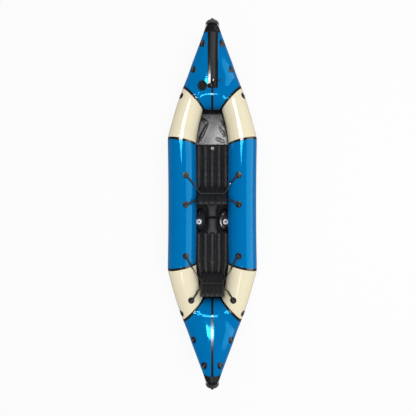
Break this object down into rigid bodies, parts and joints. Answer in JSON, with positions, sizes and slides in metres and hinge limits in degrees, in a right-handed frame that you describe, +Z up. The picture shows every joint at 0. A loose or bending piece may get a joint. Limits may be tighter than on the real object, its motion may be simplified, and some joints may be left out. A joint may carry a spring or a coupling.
{
  "type": "packraft",
  "caption": "Inflatable two-seat packraft: ring of coated-fabric tubes with rising ends, floor tray, ribbed mats and laced backrests, deck zip, valve and grab loops.",
  "frame": {"origin": "centre of the object's box in plan, at the underside of the flat floor", "axes": "+Y towards the bow, along the boat's length; +Z up, the smallest extent; +X to the right-hand side of someone who looks at the bow from the seats"},
  "size_m": [0.9082, 3.6, 0.3705],
  "materials": {
    "blue_coated_fabric": "satin urethane coating",
    "cream_coated_fabric": "satin urethane coating",
    "black_coated_fabric": "satin urethane coating",
    "black_webbing": "woven webbing and cord",
    "black_plastic": "moulded",
    "grey_plastic": "moulded",
    "white_plastic": "moulded",
    "plated_metal": "plated"
  },
  "bodies": {
    "hull": {"bow_cone": "blue_coated_fabric", "stern_cone": "blue_coated_fabric", "mid_tube_left": "blue_coated_fabric", "mid_tube_right": "blue_coated_fabric", "front_quarter_left": "cream_coated_fabric", "front_quarter_right": "cream_coated_fabric", "rear_quarter_left": "cream_coated_fabric", "rear_quarter_right": "cream_coated_fabric", "seam_tape_front_left": "black_coated_fabric", "seam_tape_front_right": "black_coated_fabric", "seam_tape_rear_left": "black_coated_fabric", "seam_tape_rear_right": "black_coated_fabric", "seam_tape_bow": "black_coated_fabric", "seam_tape_stern": "black_coated_fabric", "floor_sheet": "black_coated_fabric", "nose_patch_bow": "black_coated_fabric", "nose_patch_stern": "black_coated_fabric", "zipper_flange": "black_coated_fabric", "floor_mat_front": "black_coated_fabric", "floor_mat_rear": "black_coated_fabric", "tie_down_bow_left_1": "black_coated_fabric", "tie_down_bow_left_2": "black_coated_fabric", "tie_down_bow_left_3": "black_coated_fabric", "tie_down_bow_right_1": "black_coated_fabric", "tie_down_bow_right_2": "black_coated_fabric", "tie_down_bow_right_3": "black_coated_fabric", "tie_down_stern_left_1": "black_coated_fabric", "tie_down_stern_left_2": "black_coated_fabric", "tie_down_stern_left_3": "black_coated_fabric", "tie_down_stern_right_1": "black_coated_fabric", "tie_down_stern_right_2": "black_coated_fabric", "tie_down_stern_right_3": "black_coated_fabric", "lacing_patch_front_upper_left": "black_coated_fabric", "lacing_patch_front_upper_right": "black_coated_fabric", "lacing_patch_front_lower_left": "black_coated_fabric", "lacing_patch_front_lower_right": "black_coated_fabric", "lacing_patch_rear_upper_left": "black_coated_fabric", "lacing_patch_rear_upper_right": "black_coated_fabric", "lacing_patch_rear_lower_left": "black_coated_fabric", "lacing_patch_rear_lower_right": "black_coated_fabric", "lacing_cord_front_upper": "black_webbing", "lacing_cord_front_lower": "black_webbing", "lacing_cord_rear_upper": "black_webbing", "lacing_cord_rear_lower": "black_webbing", "valve_base": "black_plastic", "zipper_stop": "black_plastic", "zipper_chain": "grey_plastic", "mat_valve_front": "white_plastic", "mat_valve_rear": "white_plastic"},
    "slider": {"zipper_slider": "plated_metal"},
    "pull": {"zipper_pull": "plated_metal"},
    "valve_lid": {"valve_cap": "black_plastic", "valve_cap_strap": "black_plastic"},
    "plunger": {"valve_plunger": "grey_plastic"},
    "mat_button_front": {"mat_valve_button_front": "grey_plastic"},
    "mat_button_rear": {"mat_valve_button_rear": "grey_plastic"},
    "front_back": {"backrest_front": "black_coated_fabric"},
    "rear_back": {"backrest_rear": "black_coated_fabric"},
    "bow_handle": {"grab_loop_bow": "black_webbing"},
    "stern_handle": {"grab_loop_stern": "black_webbing"}
  },
  "joints": [
    {"name": "zipper_slide", "type": "slide", "parent": "hull", "child": "slider", "axis": [0, 0.9914, 0.1305], "range_m": [0, 0.43]},
    {"name": "zipper_pull_lift", "type": "hinge", "parent": "slider", "child": "pull", "pos_m": [0.01003, 1.20109, 0.299], "axis": [0, -0.9914, -0.1305], "range_deg": [0, 90]},
    {"name": "valve_cap_flip", "type": "hinge", "parent": "hull", "child": "valve_lid", "pos_m": [-0.0345, 1.16049, 0.27874], "axis": [-0.0152, 0.9937, 0.1108], "range_deg": [0, 95]},
    {"name": "valve_plunger_press", "type": "slide", "parent": "hull", "child": "plunger", "axis": [0.135, 0.1119, -0.9845], "range_m": [0, 0.006], "stiffness_N_per_m": 300, "springref_m": -0.003},
    {"name": "mat_button_front_press", "type": "slide", "parent": "hull", "child": "mat_button_front", "axis": [0, 0, -1], "range_m": [0, 0.004], "stiffness_N_per_m": 300, "springref_m": -0.002},
    {"name": "mat_button_rear_press", "type": "slide", "parent": "hull", "child": "mat_button_rear", "axis": [0, 0, -1], "range_m": [0, 0.004], "stiffness_N_per_m": 300, "springref_m": -0.002},
    {"name": "backrest_front_fold", "type": "hinge", "parent": "hull", "child": "front_back", "pos_m": [0, 0.17, 0.066], "axis": [-1, 0, 0], "range_deg": [-10, 40], "stiffness_Nm_per_rad": 8, "springref_deg": 2.29, "deforming": ["lacing_cord_front_upper", "lacing_cord_front_lower"]},
    {"name": "backrest_rear_fold", "type": "hinge", "parent": "hull", "child": "rear_back", "pos_m": [0, -0.724, 0.066], "axis": [-1, 0, 0], "range_deg": [-10, 40], "stiffness_Nm_per_rad": 8, "springref_deg": 2.29, "deforming": ["lacing_cord_rear_upper", "lacing_cord_rear_lower"]},
    {"name": "grab_loop_bow_tilt", "type": "hinge", "parent": "hull", "child": "bow_handle", "pos_m": [0, 1.74, 0.285], "axis": [-1, 0, 0], "range_deg": [-8, 80], "stiffness_Nm_per_rad": 0.1},
    {"name": "grab_loop_stern_tilt", "type": "hinge", "parent": "hull", "child": "stern_handle", "pos_m": [0, -1.74, 0.285], "axis": [1, 0, 0], "range_deg": [-8, 80], "stiffness_Nm_per_rad": 0.1}
  ]
}
